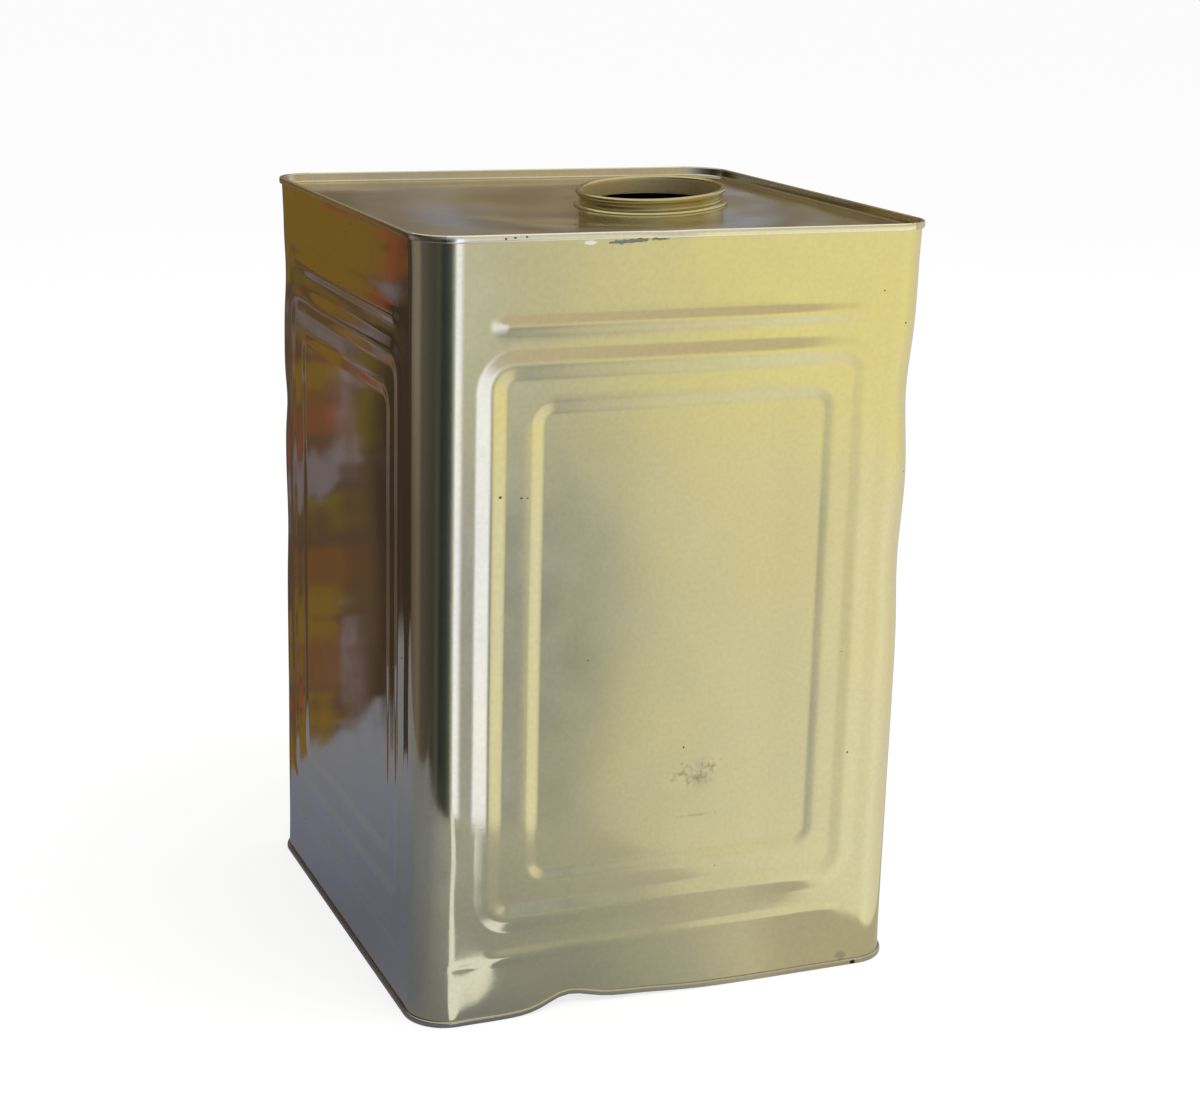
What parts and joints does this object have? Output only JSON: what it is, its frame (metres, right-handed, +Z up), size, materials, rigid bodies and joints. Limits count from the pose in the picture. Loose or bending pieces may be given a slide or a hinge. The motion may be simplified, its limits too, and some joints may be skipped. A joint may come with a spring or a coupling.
{
  "type": "honey tin",
  "caption": "Empty square tinplate honey tin with pressed ridges on its sides, seamed rims and an open round mouth on its sagging lid.",
  "frame": {"origin": "middle of the footprint, at the height of the bottom seam's lowest level", "axes": "+Z up; -Y out of the front side; +X to the right of someone who faces the front"},
  "size_m": [0.238, 0.238, 0.3527],
  "materials": {
    "tinplate_side": "satin pale gold lacquer on tinplate",
    "tinplate_lid": "satin pale gold lacquer on tinplate",
    "tinplate_neck": "glossy gold lacquer on tinplate"
  },
  "bodies": {
    "root": {"tin_body": "tinplate_side", "top_end": "tinplate_lid", "bottom_end": "tinplate_lid", "neck_ring": "tinplate_neck"}
  },
  "joints": []
}
